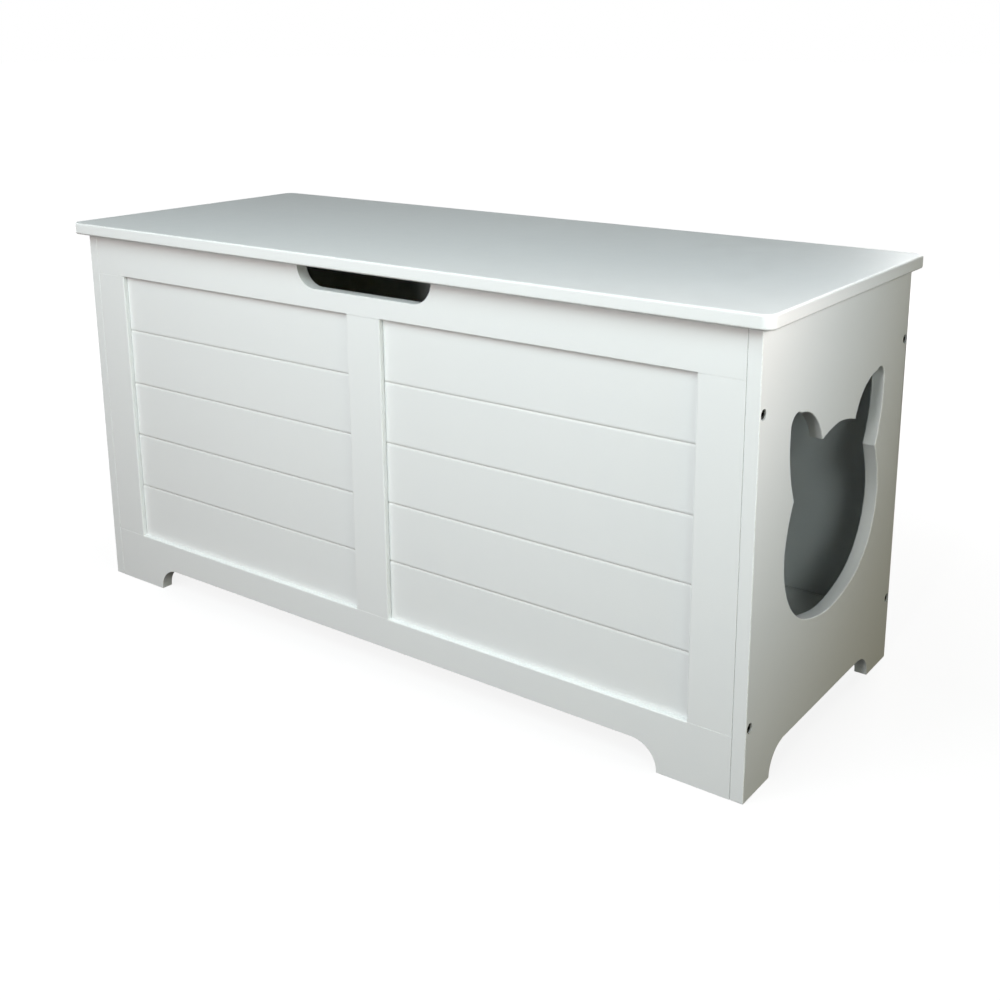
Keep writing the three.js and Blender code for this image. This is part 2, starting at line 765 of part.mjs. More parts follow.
const underLowerArm = stay.lowerArm - clearance;
const underUpperArm = stay.upperArm - clearance;
piece("stay_wall_plate", wallPlate(), "zinc");
piece("stay_wall_rivet", rivet(stay.wallPivot, stay.wall, stay.lowerArm + layer, false), "zinc");
piece("stay_lower_arm", stayArm(stay.lowerArm, stay.wallPivot, stay.elbow), "zinc");
piece("stay_upper_arm", stayArm(stay.upperArm, stay.elbow, stay.lidPivot), "zinc");
piece("stay_elbow_rivet", rivet(stay.elbow, underLowerArm, stay.upperArm + layer, true), "zinc");
piece("stay_lid_bracket", lidBracket(), "zinc");
piece("stay_lid_rivet", rivet(stay.lidPivot, underUpperArm, stay.bracket + layer, true), "zinc");

for (const screw of [...wallScrews, ...lidPlateScrews]) {
  piece(screw.name, smallScrewAt(screw.at, screw.direction, leafScrewLength), "zinc");
}

// ---- Bumpers on the front rail and the sides ----
function bumper(x, y) {
  return rod(bumperRadius, [x, y, bodyHeight], [0, 0, 1], lidGap, pinSides);
}

for (const [side, sign] of Object.entries({ left: -1, right: 1 })) {
  piece(`bumper_front_${side}`, bumper(sign * (innerHalf - bumperInset), frameMiddle), "rubber");
  piece(`bumper_side_${side}`, bumper(sign * (bodyWidth / 2 - frameMiddle), bodyDepth / 2), "rubber");
}

const root = new THREE.Group();
root.add(cabinet);
export default root;
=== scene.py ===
# %% [markdown]
# # A painted cat litter cabinet
# The cabinet is a white bench of painted fibreboard. It has a lid hinged at the back, a framed front
# with two grooved panels, and a doorway in the outline of a cat's head in its right side.
# The construction is already made and measured: it comes in as a fixed frame of named pieces.
# This lesson gives each piece the surface that a paint shop, a press or a lathe would give it.

# %% Load the fixed frame
import json
import math

import bmesh
import bpy
from mathutils import Matrix, Quaternion, Vector

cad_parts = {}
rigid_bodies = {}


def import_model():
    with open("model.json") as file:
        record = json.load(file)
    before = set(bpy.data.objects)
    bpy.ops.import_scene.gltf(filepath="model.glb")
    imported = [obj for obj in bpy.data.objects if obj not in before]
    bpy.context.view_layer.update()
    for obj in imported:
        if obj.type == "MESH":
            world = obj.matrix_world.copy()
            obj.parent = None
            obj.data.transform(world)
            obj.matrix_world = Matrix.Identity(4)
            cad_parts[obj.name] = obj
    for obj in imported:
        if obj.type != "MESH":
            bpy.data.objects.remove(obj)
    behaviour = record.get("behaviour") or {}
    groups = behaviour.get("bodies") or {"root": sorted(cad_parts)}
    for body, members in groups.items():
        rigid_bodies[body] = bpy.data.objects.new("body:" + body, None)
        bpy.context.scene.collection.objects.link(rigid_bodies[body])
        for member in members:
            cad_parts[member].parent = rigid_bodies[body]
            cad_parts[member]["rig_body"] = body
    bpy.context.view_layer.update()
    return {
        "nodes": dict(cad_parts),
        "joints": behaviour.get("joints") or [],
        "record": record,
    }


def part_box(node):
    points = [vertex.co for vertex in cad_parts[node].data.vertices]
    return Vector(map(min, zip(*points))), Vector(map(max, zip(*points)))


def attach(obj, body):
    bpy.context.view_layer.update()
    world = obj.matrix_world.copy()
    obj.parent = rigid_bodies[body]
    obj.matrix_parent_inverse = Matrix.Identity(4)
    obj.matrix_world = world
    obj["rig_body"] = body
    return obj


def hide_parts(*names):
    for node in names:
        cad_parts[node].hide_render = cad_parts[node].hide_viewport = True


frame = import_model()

nodes = frame["nodes"]
slots = {row["node"]: row["material_slot"] for row in frame["record"]["subparts"]}
joints = {joint["name"]: joint for joint in frame["joints"]}
print(len(nodes), "pieces in the frame")

# %% [markdown]
# ## The camera
# Everything else is judged through the camera, so it comes first.
# A photograph's viewpoint can be found by eye, or worked out from edges whose real lengths are known.
# The second way is exact, and it gives the place, the three angles, the focal length and a small shift.
# The picture is 1000 pixels square, so a focal length in pixels turns into millimetres of a 36 mm sensor.
# The lens looked at a pixel beside the picture's middle, as in a cropped photograph: that is the shift.

# %% Set up the camera
PICTURE = 1000
SENSOR = 36.0
FOCAL_PIXELS = 1282.24
AZIMUTH = math.radians(35.869)
ELEVATION = math.radians(14.111)
ROLL = math.radians(-0.155)
CAMERA_PLACE = Vector((0.96244, -1.21026, 0.73374))
CENTRE_PIXEL = Vector((523.4, 355.7))


def set_up_camera():
    data = bpy.data.cameras.new("camera")
    data.sensor_width = SENSOR
    data.lens = FOCAL_PIXELS * SENSOR / PICTURE
    data.shift_x = 0.5 - CENTRE_PIXEL.x / PICTURE
    data.shift_y = CENTRE_PIXEL.y / PICTURE - 0.5
    data.dof.use_dof = False
    camera = bpy.data.objects.new("camera", data)
    bpy.context.scene.collection.objects.link(camera)
    across = math.cos(ELEVATION)
    back = Vector((math.sin(AZIMUTH) * across, -math.cos(AZIMUTH) * across, math.sin(ELEVATION)))
    camera.rotation_mode = "QUATERNION"
    camera.rotation_quaternion = (-back).to_track_quat("-Z", "Y") @ Quaternion((0, 0, 1), ROLL)
    camera.location = CAMERA_PLACE
    bpy.context.scene.camera = camera
    return camera


camera = set_up_camera()
print("lens", round(camera.data.lens, 2), "mm")
print("shift", round(camera.data.shift_x, 4), round(camera.data.shift_y, 4))

# %% [markdown]
# ## A finish
# Each finish is a small net of shader nodes. All of them read Object coordinates, which are metres here,
# because every piece's object sits at the origin. A noise of scale 900 then has grains of about a millimetre.
# A pattern could also follow a picture wrapped round the piece, but boards this large would show its repeat.
# A small class keeps together what belongs to one finish: its material, its shader and its coordinates.

# %% A finish and its shader


class Finish:
    """A material in the making: its node tree, its shader and its Object coordinates."""

    def __init__(self, name):
        self.material = bpy.data.materials.new(name)
        self.material.use_nodes = True
        self.tree = self.material.node_tree
        self.shader = self.tree.nodes["Principled BSDF"]
        self.place = self.add("ShaderNodeTexCoord").outputs["Object"]

    def add(self, kind, **settings):
        """A new node, with its settings."""
        made = self.tree.nodes.new(kind)
        for name, value in settings.items():
            setattr(made, name, value)
        return made

    def link(self, output, socket):
        self.tree.links.new(output, socket)

    def set(self, name, value):
        """Gives the shader a number, a colour or a socket."""
        socket = self.shader.inputs[name]
        if isinstance(value, (int, float)):
            socket.default_value = value
        elif isinstance(value, tuple):
            socket.default_value = (*value, 1.0)
        else:
            self.link(value, socket)


print("a finish can", ", ".join(name for name in vars(Finish) if not name.startswith("_")))

# %% [markdown]
# ## The steps of a finish
# A pattern is built up in steps. Each step is one node, and it takes sockets and returns a socket.
# They could be written out node by node, but the same few steps come back in every finish.
# Some steps read the surface: where a point is, how a noise falls there, and what the piece's own mesh says.
# An attribute named rounding is 1 along the rounded edges and 0 on the flats, because handling, sanding and
# thin paint all show on edges first.

# %% Steps that read the surface


def stretched(finish, scale):
    """Object coordinates, stretched by a different amount along each axis."""
    mapping = finish.add("ShaderNodeMapping")
    mapping.inputs["Scale"].default_value = scale
    finish.link(finish.place, mapping.inputs["Vector"])
    return mapping.outputs["Vector"]


def noise(finish, scale, detail, at=None):
    """Cloudy noise with about this many grains to a metre, and finer ones inside them."""
    made = finish.add("ShaderNodeTexNoise")
    made.inputs["Scale"].default_value = scale
    made.inputs["Detail"].default_value = detail
    finish.link(at or finish.place, made.inputs["Vector"])
    return made.outputs["Fac"]


def attribute(finish, name):
    """A value that the piece's own mesh carries."""
    return finish.add("ShaderNodeAttribute", attribute_name=name).outputs["Fac"]


print("patterns read Object coordinates and the pieces' own attributes")

# %% [markdown]
# The other steps change what was read: they spread a value over a new range, multiply, mix two colours, or
# turn a height into a bump. The bump comes last, because it changes only how the light falls.

# %% Steps that change a value
LIMITS = ("From Min", "From Max", "To Min", "To Max")


def ranged(finish, value, low, high, start=0.0, end=1.0):
    """A value between low and high, spread over start to end."""
    made = finish.add("ShaderNodeMapRange")
    for name, number in zip(LIMITS, (low, high, start, end)):
        made.inputs[name].default_value = number
    finish.link(value, made.inputs["Value"])
    return made.outputs["Result"]


def maths(finish, operation, first, second):
    """A sum or a product of two values, each a number or a socket."""
    made = finish.add("ShaderNodeMath", operation=operation)
    for socket, value in zip(made.inputs, (first, second)):
        if isinstance(value, (int, float)):
            socket.default_value = value
        else:
            finish.link(value, socket)
    return made.outputs["Value"]


def mixed(finish, factor, first, second):
    """One colour turning into another as the factor goes from 0 to 1."""
    made = finish.add("ShaderNodeMix", data_type="RGBA")
    finish.link(factor, made.inputs["Factor"])
    for socket, value in zip((made.inputs["A"], made.inputs["B"]), (first, second)):
        if isinstance(value, tuple):
            socket.default_value = (*value, 1.0)
        else:
            finish.link(value, socket)
    return made.outputs["Result"]


def bump(finish, height, strength, distance, under=None):
    """Relief too fine to model, laid over a coarser one where there is one."""
    made = finish.add("ShaderNodeBump")
    made.inputs["Strength"].default_value = strength
    made.inputs["Distance"].default_value = distance
    finish.link(height, made.inputs["Height"])
    if under:
        finish.link(under, made.inputs["Normal"])
    return made.outputs["Normal"]


print("a range is set by", ", ".join(LIMITS))

# %% [markdown]
# ## Satin white paint
# The boards are sprayed with a satin white lacquer. A plain white would look like plastic foam.
# Real sprayed board has four things at four scales: a drift of tone over the whole board, a faint
# cloudiness where coats overlap, an orange peel of about a millimetre, and dust nibs finer than that.
# On the rounded edges the coat is thinner and a little duller, and the board's fibres show in it.
# In the grooves the paint is greyer: a painted shade, which stands for the shade that falls into them.
# A second attribute says where: it is 1 in the bottom of a groove.
# Noises of different scales make all of them. A scale is about the number of grains to a metre.

# %% Make the paint
PAINT = (0.800, 0.822, 0.818)
PAINT_COOL = (0.782, 0.808, 0.810)
PAINT_THIN = (0.690, 0.700, 0.682)
# The grey of the painted shade in the grooves.
PAINT_GROOVE_SHADE = (0.660, 0.672, 0.660)
PAINT_IOR = 1.47

DRIFT = 2.6
CLOUDS = 24.0
SHEEN = 60.0
FIBRES = 420.0
PEEL = 520.0
NIBS = 2600.0

EDGE_FADE = 0.55
EDGE_DULLING = 0.18


def satin_paint():
    finish = Finish("satin_white_paint")
    drift = ranged(finish, noise(finish, DRIFT, detail=1.0), low=0.35, high=0.65)
    clouds = ranged(finish, noise(finish, CLOUDS, detail=3.0), low=0.3, high=0.7, end=0.5)
    tone = mixed(finish, maths(finish, "MULTIPLY", drift, clouds), PAINT, PAINT_COOL)
    fibres = ranged(finish, noise(finish, FIBRES, detail=4.0), low=0.42, high=0.72)
    thin = maths(finish, "MULTIPLY", attribute(finish, "rounding"), fibres)
    worn = mixed(finish, maths(finish, "MULTIPLY", thin, EDGE_FADE), tone, PAINT_THIN)
    # Painted shade: the grooves are greyed where shade falls into them.
    finish.set("Base Color", mixed(finish, attribute(finish, "hollow"), worn, PAINT_GROOVE_SHADE))
    sheen = ranged(finish, noise(finish, SHEEN, detail=3.0), low=0.3, high=0.7, start=0.36, end=0.46)
    finish.set("Roughness", maths(finish, "ADD", sheen, maths(finish, "MULTIPLY", thin, EDGE_DULLING)))
    finish.set("IOR", PAINT_IOR)
    peel = bump(finish, noise(finish, PEEL, detail=2.0), strength=0.16, distance=0.0004)
    nibs = bump(finish, noise(finish, NIBS, detail=3.0), strength=0.10, distance=0.0001, under=peel)
    finish.set("Normal", nibs)
    return finish.material


finishes = {"paint": satin_paint()}
print(finishes["paint"].name, len(finishes["paint"].node_tree.nodes), "nodes")

# %% [markdown]
# ## Black oxide
# The case screws are blackened steel. Plain black paint would hide their shape. Black oxide is dark brown
# more than black, it is a thin coat that lets the metal shine through, and it rubs off on edges.

# %% Make the black oxide
OXIDE = (0.030, 0.027, 0.023)
OXIDE_RUBBED = (0.150, 0.135, 0.115)
OXIDE_SHINE = 0.85
STAIN = 0.12


def black_oxide():
    finish = Finish("black_oxide_steel")
    specks = ranged(finish, noise(finish, 1500.0, detail=4.0), low=0.45, high=0.75)
    patches = ranged(finish, noise(finish, 700.0, detail=3.0), low=0.35, high=0.6)
    rubbed = maths(finish, "MULTIPLY", attribute(finish, "rounding"), patches)
    stained = mixed(finish, maths(finish, "MULTIPLY", specks, STAIN), OXIDE, OXIDE_RUBBED)
    finish.set("Base Color", mixed(finish, rubbed, stained, OXIDE_RUBBED))
    finish.set("Metallic", OXIDE_SHINE)
    blasted = noise(finish, 900.0, detail=3.0)
    finish.set("Roughness", ranged(finish, blasted, low=0.3, high=0.7, start=0.34, end=0.52))
    finish.set("Normal", bump(finish, noise(finish, 2200.0, detail=3.0), strength=0.15, distance=0.0001))
    return finish.material


finishes["black_screws"] = black_oxide()
print(finishes["black_screws"].name, "for the long screws")

# %% [markdown]
# ## Zinc and vinyl
# Hinges, stay and small screws are bright zinc, rolled as sheet, so their polish has streaks along one way.
# A long thin noise, squeezed along two axes, gives such streaks along the third.
# The bumpers are a milky vinyl, soft and nearly matt, with light going a little way in.

# %% Make the zinc and the vinyl
ZINC = (0.640, 0.655, 0.670)
ZINC_DULL = (0.520, 0.530, 0.535)
ROLLED_ALONG_X = (1.0, 40.0, 40.0)
VINYL = (0.760, 0.790, 0.780)
VINYL_DEEP = (0.700, 0.735, 0.725)
VINYL_GLOW = 0.15


def bright_zinc():
    finish = Finish("bright_zinc")
    streaks = noise(finish, 60.0, detail=4.0, at=stretched(finish, ROLLED_ALONG_X))
    bloom = ranged(finish, noise(finish, 140.0, detail=3.0), low=0.4, high=0.7)
    finish.set("Base Color", mixed(finish, bloom, ZINC, ZINC_DULL))
    finish.set("Metallic", 1.0)
    finish.set("Roughness", ranged(finish, streaks, low=0.3, high=0.7, start=0.22, end=0.40))
    finish.set("Normal", bump(finish, streaks, strength=0.12, distance=0.0001))
    return finish.material


def milky_vinyl():
    finish = Finish("milky_vinyl")
    finish.set("Base Color", mixed(finish, noise(finish, 300.0, detail=2.0), VINYL, VINYL_DEEP))
    moulded = noise(finish, 500.0, detail=2.0)
    finish.set("Roughness", ranged(finish, moulded, low=0.3, high=0.7, start=0.45, end=0.62))
    finish.set("Subsurface Weight", VINYL_GLOW)
    finish.set("Normal", bump(finish, noise(finish, 1200.0, detail=2.0), strength=0.1, distance=0.0001))
    return finish.material


finishes["hardware"] = bright_zinc()
finishes["bumpers"] = milky_vinyl()
print("finishes:", ", ".join(made.name for made in finishes.values()))

# %% [markdown]
# ## From a bmesh to a piece
# A finished piece stands for one node of the frame: it rides on the same body and takes the same slot.
# Rounded edges shade well only if the big flats keep their own normals, so each piece gets weighted normals,
# and edges that stay sharp are marked first.

# %% Helpers that finish a piece
SHARP = math.radians(40)
MERGE = 0.00001


def mark_rounding(bm, rounded):
    """Sets the rounding attribute: 1 on the points inside a rounded edge, 0 on all others."""
    layer = bm.verts.layers.float.get("rounding") or bm.verts.layers.float.new("rounding")
    inside = set(rounded)
    for vert in {vert for face in rounded for vert in face.verts}:
        if all(face in inside for face in vert.link_faces):
            vert[layer] = 1.0


def as_piece(bm, node):
    """Makes the bmesh the piece that stands for a node of the frame."""
    for face in bm.faces:
        face.smooth = True
    for edge in bm.edges:
        edge.smooth = edge.is_manifold and edge.calc_face_angle(0.0) < SHARP
    mesh = bpy.data.meshes.new(node + "_finished")
    bm.to_mesh(mesh)
    bm.free()
    mesh.materials.append(finishes[slots[node]])
    piece = bpy.data.objects.new(node + "_finished", mesh)
    bpy.context.scene.collection.objects.link(piece)
    shading = piece.modifiers.new("flat_faces_stay_flat", "WEIGHTED_NORMAL")
    shading.keep_sharp = True
    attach(piece, nodes[node]["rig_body"])
    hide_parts(node)
    return piece


def round_edges(bm, edges, radius, segments=3):
    """Rounds edges with a bevel, and marks them for the paint."""
    made = bmesh.ops.bevel(
        bm,
        geom=edges,
        offset=radius,
        offset_type="OFFSET",
        segments=segments,
        profile=0.5,
        affect="EDGES",
        loop_slide=False,
        material=-1,
    )
    mark_rounding(bm, made["faces"])


print("edges sharper than", round(math.degrees(SHARP)), "degrees stay sharp in the shading")

# %% [markdown]
# ## Painted boards
# A cutter rounds each board a little before it is painted, so that the paint holds on the edge.
# Where two rounded boards meet, the two roundings leave the fine joint line that a painted frame shows.
# The boards could be drawn again from boxes, but their feet, grooves, screw holes and the cat-head doorway
# are already exact in the frame. So a board starts as a copy of its node. The copy is loose triangles:
# its points are merged, the flat triangles are dissolved into whole faces, and the long sharp edges are
# then rounded. Holes for screws have short edges, and they stay as the drill left them.

# %% Round the boards
FLAT = math.radians(0.1)
CORNER = math.radians(30)
SHORTEST = 0.0021


def whole_faces(node):
    """A copy of a node's mesh, with its loose triangles joined into whole faces."""
    bm = bmesh.new()
    bm.from_mesh(nodes[node].data)
    bmesh.ops.remove_doubles(bm, verts=bm.verts, dist=MERGE)
    bmesh.ops.dissolve_limit(bm, angle_limit=FLAT, verts=bm.verts, edges=bm.edges)
    return bm


def softened(node, radius, segments=3, shortest=SHORTEST, bm=None, hidden=None):
    """The piece for a board or plate: its own copy, or one worked on already, with its long edges rounded."""
    bm = bm or whole_faces(node)
    corners = [e for e in bm.edges if e.calc_face_angle(0.0) > CORNER and e.calc_length() > shortest]
    if hidden:
        corners = [edge for edge in corners if not hidden(edge)]
    round_edges(bm, corners, radius, segments)
    piece = as_piece(bm, node)
    print(node, len(corners), "edges rounded by", radius * 1000, "mm,", len(piece.data.polygons), "faces")
    return piece


SIDE_ROUND = 0.0012
INNER_ROUND = 0.0008

for name in ("side_left", "side_right"):
    softened(name, SIDE_ROUND, segments=4)
for name in ("back_board", "floor_board", "floor_cleat_front", "floor_cleat_back", "divider"):
    softened(name, INNER_ROUND)

# %% [markdown]
# ## The front frame
# Rails, stiles and post meet flush, and only a hairline shows between them. Round the two openings it is
# different: after the frame is glued, a router runs along their rims and rounds them over far more than
# any other edge. That rounding catches the light as a soft white line beside each panel.
# It stops where a stile meets a rail, so each rail is first cut across, without parting it, at the ends
# of the openings. Then only the edges that border an opening get the wide rounding.
# The edges inside the panel grooves stay sharp: nobody can reach them, and paint bridges the fine gap there.

# %% Find the rims of the two openings
RIM_X = [
    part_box("front_stile_left")[1].x,
    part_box("front_post")[0].x,
    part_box("front_post")[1].x,
    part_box("front_stile_right")[0].x,
]
RIM_Z = [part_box("front_bottom_rail")[1].z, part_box("front_top_rail")[0].z]
RIM_Y, BACK_Y = (corner.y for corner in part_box("front_post"))
ALONG_X = (1, 0, 0)


def near_one_of(value, places):
    return min(abs(value - place) for place in places) < MERGE


def borders_opening(edge):
    """Whether a sharp edge of the frame's face runs along the rim of an opening."""
    if edge.calc_face_angle(0.0) < CORNER or not all(near_one_of(v.co.y, [RIM_Y]) for v in edge.verts):
        return False
    middle = (edge.verts[0].co + edge.verts[1].co) / 2
    over_opening = RIM_X[0] < middle.x < RIM_X[1] or RIM_X[2] < middle.x < RIM_X[3]
    return near_one_of(middle.x, RIM_X) or (over_opening and near_one_of(middle.z, RIM_Z))


def inside_groove(edge):
    """Whether an edge lies between the frame's front and its back, where the panels' grooves are."""
    return all(RIM_Y + MERGE < vert.co.y < BACK_Y - MERGE for vert in edge.verts)


print("openings", [round((b - a) * 1000) for a, b in (RIM_X[:2], RIM_X[2:])], "mm wide")

# %% Round the front frame
RIM_ROUND = 0.0016
RIM_SEGMENTS = 6
FRAME_ROUND = 0.0005

for name in ("front_top_rail", "front_bottom_rail", "front_stile_left", "front_stile_right", "front_post"):
    bm = whole_faces(name)
    if name.endswith("rail"):
        for x in RIM_X:
            whole = [*bm.verts, *bm.edges, *bm.faces]
            bmesh.ops.bisect_plane(bm, geom=whole, dist=MERGE, plane_co=(x, 0, 0), plane_no=ALONG_X)
    rims = [edge for edge in bm.edges if borders_opening(edge)]
    round_edges(bm, rims, RIM_ROUND, RIM_SEGMENTS)
    print(name, len(rims), "edges along an opening")
    softened(name, FRAME_ROUND, bm=bm, hidden=inside_groove)

# %% [markdown]
# ## Grooved panels
# Each front panel is one sheet with V grooves that part it into five boards. A V bit cuts a crisp groove,
# but primer and two coats of paint round its shoulders and lie in its bottom. The shoulders meet the face at
# a blunt angle and the bottoms are hollow, so both can be told from every other edge of the panel.
# The bottoms are raised by the paint in them, and the shoulders get a wide soft rounding.

# %% Round the grooved panels
PAINT_FILL = 0.0008
# How deep in a groove the painted shade is full.
GROOVE_SHADE_DEPTH = 0.0006
SHOULDER_ROUND = 0.0015
SHOULDER_SEGMENTS = 8
BOTTOM_ROUND = 0.00025
PANEL_ROUND = 0.0002
BLUNT = math.radians(15)
RIGHT_ANGLE = math.radians(90)
SHOULDER_LENGTH = 0.1


def is_shoulder(edge):
    """Whether a long edge, much blunter than a corner, joins a groove's slope to the panel's face."""
    if not edge.is_convex or edge.calc_length() < SHOULDER_LENGTH:
        return False
    return BLUNT < edge.calc_face_angle(0.0) < RIGHT_ANGLE - BLUNT


def mark_hollows(bm, face):
    """Painted shade by depth under the face, up to 1 in a groove. Deeper points are the back."""
    layer = bm.verts.layers.float.new("hollow")
    for vert in bm.verts:
        depth = vert.co.y - face
        if depth < 2 * GROOVE_SHADE_DEPTH:
            vert[layer] = min(depth / GROOVE_SHADE_DEPTH, 1.0)


for name in ("front_panel_left", "front_panel_right"):
    bm = whole_faces(name)
    bottoms = [edge for edge in bm.edges if edge.calc_face_angle(0.0) > CORNER and not edge.is_convex]
    filled = {vert for edge in bottoms for vert in edge.verts}
    bmesh.ops.translate(bm, verts=list(filled), vec=(0, -PAINT_FILL, 0))
    round_edges(bm, bottoms, BOTTOM_ROUND)
    shoulders = [edge for edge in bm.edges if is_shoulder(edge)]
    round_edges(bm, shoulders, SHOULDER_ROUND, SHOULDER_SEGMENTS)
    # Painted shade: how far down in a groove each point lies, so that the paint greys it.
    mark_hollows(bm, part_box(name)[0].y)
    print(name, len(bottoms), "grooves")
    softened(name, PANEL_ROUND, segments=2, bm=bm)

# %% [markdown]
# ## The lid
# The lid is one board whose corners are rounded twice: first seen from above, then along all its rims.
# Two bevels do exactly that to a box. The upright edges come first, with many segments for a clean curve,
# and then every edge that is still square.

# %% Make the lid
LID_CORNER = 0.012
CORNER_SEGMENTS = 12
LID_RIM = 0.0025


def is_upright(edge):
    return abs(edge.verts[1].co.z - edge.verts[0].co.z) > MERGE


def make_lid():
    low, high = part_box("lid")
    stretch = Matrix.Diagonal((*(high - low), 1))
    bm = bmesh.new()
    bmesh.ops.create_cube(bm, size=1.0, matrix=Matrix.Translation((low + high) / 2) @ stretch)
    bmesh.ops.bevel(
        bm,
        geom=[edge for edge in bm.edges if is_upright(edge)],
        offset=LID_CORNER,
        segments=CORNER_SEGMENTS,
        profile=0.5,
        affect="EDGES",
        material=-1,
    )
    rims = [edge for edge in bm.edges if edge.calc_face_angle(0.0) > CORNER]
    round_edges(bm, rims, LID_RIM, RIM_SEGMENTS)
    return as_piece(bm, "lid")


lid = make_lid()
print("lid", len(lid.data.polygons), "faces")

# %% [markdown]
# ## Turned pieces
# Screws, rivets, pins and bumpers are made on a lathe or a header, and each is a profile spun about an axis.
# The profile stops short of the axis where a key or a driver goes in. The ring that it leaves has enough
# points to be pushed into the outline of a hexagon or a cross, and it is then drawn down into the head.

# %% Helpers for turned pieces
STEPS = 48
UP = Vector((0, 0, 1))


def spun(profile, steps=STEPS):
    """Spins (radius, height) points about Z. Points on the axis close the shape."""
    bm = bmesh.new()
    verts = [bm.verts.new((radius, 0.0, height)) for radius, height in profile]
    edges = [bm.edges.new(pair) for pair in zip(verts, verts[1:])]
    ring = {"axis": UP, "cent": (0, 0, 0), "steps": steps, "angle": math.tau}
    bmesh.ops.spin(bm, geom=verts + edges, use_merge=True, **ring)
    bmesh.ops.remove_doubles(bm, verts=bm.verts, dist=MERGE)
    return bm


def close_turned(bm, radius=0.0):
    """Faces outwards, and the sharp edges of a turned piece broken by a small rounding."""
    bmesh.ops.recalc_face_normals(bm, faces=bm.faces)
    if radius:
        sharp = [edge for edge in bm.edges if edge.calc_face_angle(0.0) > CORNER]
        round_edges(bm, sharp, radius, segments=2)
    return bm


def set_in_place(bm, node, outward):
    """Moves a piece that was made with its head at the origin, facing up, to a node's own place."""
    low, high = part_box(node)
    outward = Vector(outward)
    place = (low + high) / 2
    for axis in range(3):
        if outward[axis]:
            place[axis] = high[axis] if outward[axis] > 0 else low[axis]
    turn = UP.rotation_difference(outward).to_matrix().to_4x4()
    bm.transform(Matrix.Translation(place) @ turn)
    return as_piece(bm, node)


print("a turned piece has", STEPS, "steps round")

# %% [markdown]
# ## Recesses
# A key's socket is a hexagon and a driver's recess is a cross. Both could be cut with a Boolean, which
# leaves ragged faces on a small head. Here the open ring of the head itself is pushed into the outline,
# so that the faces round it stay even, and the walls are drawn down from there.

# %% Helpers for recesses


def hexagon(angle, across):
    """How far a hexagon's outline is from its middle, given its size across the flats."""
    return across / 2 / math.cos((angle + math.pi / 6) % (math.pi / 3) - math.pi / 6)


def cross(angle, arm, width):
    """How far the outline of a driver's cross is from its middle."""
    turn = (angle + math.pi / 4) % (math.pi / 2) - math.pi / 4
    return min(arm / math.cos(turn), width / 2 / max(abs(math.sin(turn)), MERGE))


def sink_recess(bm, outline, depth, taper):
    """Pushes the open ring of a head into an outline, and draws it down to a closed floor."""
    ring = [edge for edge in bm.edges if edge.is_boundary]
    for vert in {vert for edge in ring for vert in edge.verts}:
        reach = outline(math.atan2(vert.co.y, vert.co.x))
        vert.co.xy = vert.co.xy.normalized() * reach
    made = bmesh.ops.extrude_edge_only(bm, edges=ring)["geom"]
    lowered = [part for part in made if isinstance(part, bmesh.types.BMVert)]
    floor = [part for part in made if isinstance(part, bmesh.types.BMEdge)]
    bmesh.ops.scale(bm, verts=lowered, vec=(taper, taper, 1.0))
    bmesh.ops.translate(bm, verts=lowered, vec=(0, 0, -depth))
    bmesh.ops.contextual_create(bm, geom=floor)


print("a 4 mm hexagon reaches", round(hexagon(0.0, 4.0), 2), "mm at its corners")

# %% [markdown]
# ## Case screws
# These long screws pull the side boards against the frame and the back. They have a flat countersunk head
# and a socket for a hexagonal key, and they sit a little under the surface, where they read as dark dots.

# %% Make the case screws
HEAD = 0.0052
HEAD_RIM = 0.001
HEAD_DEPTH = 0.004
SHANK = 0.0025
SCREW_LENGTH = 0.050
KEY = 0.004
KEY_RING = 0.003
KEY_DEPTH = 0.003
KEY_TAPER = 0.96
EDGE_BREAK = 0.0002
SOCKET_ROUND = 0.00012

HEAD_FACES = {
    "side_screw_left": (-1, 0, 0),
    "side_screw_right": (1, 0, 0),
    "divider_screw_back": (0, 1, 0),
    "divider_screw_floor": (0, 0, -1),
}


def case_screw():
    profile = [
        (KEY_RING, 0.0),
        (HEAD - EDGE_BREAK, 0.0),
        (HEAD, -EDGE_BREAK),
        (HEAD, -HEAD_RIM),
        (SHANK, -HEAD_DEPTH),
        (SHANK, -SCREW_LENGTH + 2 * SHANK),
        (0.0, -SCREW_LENGTH),
    ]
    bm = spun(profile)
    sink_recess(bm, lambda angle: hexagon(angle, KEY), KEY_DEPTH, KEY_TAPER)
    return close_turned(bm, SOCKET_ROUND)


for start, outward in HEAD_FACES.items():
    for name in sorted(node for node in nodes if node.startswith(start)):
        piece = set_in_place(case_screw(), name, outward)
print("case screws:", len(piece.data.polygons), "faces each")

# %% [markdown]
# ## Small screws
# Hinges, stay and cleats are held by small zinc screws with a driver's cross.
# Their heads are very slightly domed, so that they stand proud of the leaf by less than the leaves' gap.

# %% Make the small screws
SMALL_HEAD = 0.0028
SMALL_RIM = 0.0003
SMALL_DEPTH = 0.0018
SMALL_SHANK = 0.0014
DOME = 0.0001
DOME_SHOULDER = 0.85
SHOULDER_DROP = 0.6
CROSS_ARM = 0.0016
CROSS_WIDTH = 0.0007
CROSS_DEPTH = 0.0012
CROSS_TAPER = 0.6


def small_screw(length):
    profile = [
        (CROSS_ARM, DOME),
        (SMALL_HEAD * DOME_SHOULDER, DOME * SHOULDER_DROP),
        (SMALL_HEAD, 0.0),
        (SMALL_HEAD, -SMALL_RIM),
        (SMALL_SHANK, -SMALL_DEPTH),
        (SMALL_SHANK, -length + 2 * SMALL_SHANK),
        (0.0, -length),
    ]
    bm = spun(profile)
    sink_recess(bm, lambda angle: cross(angle, CROSS_ARM, CROSS_WIDTH), CROSS_DEPTH, CROSS_TAPER)
    return close_turned(bm)


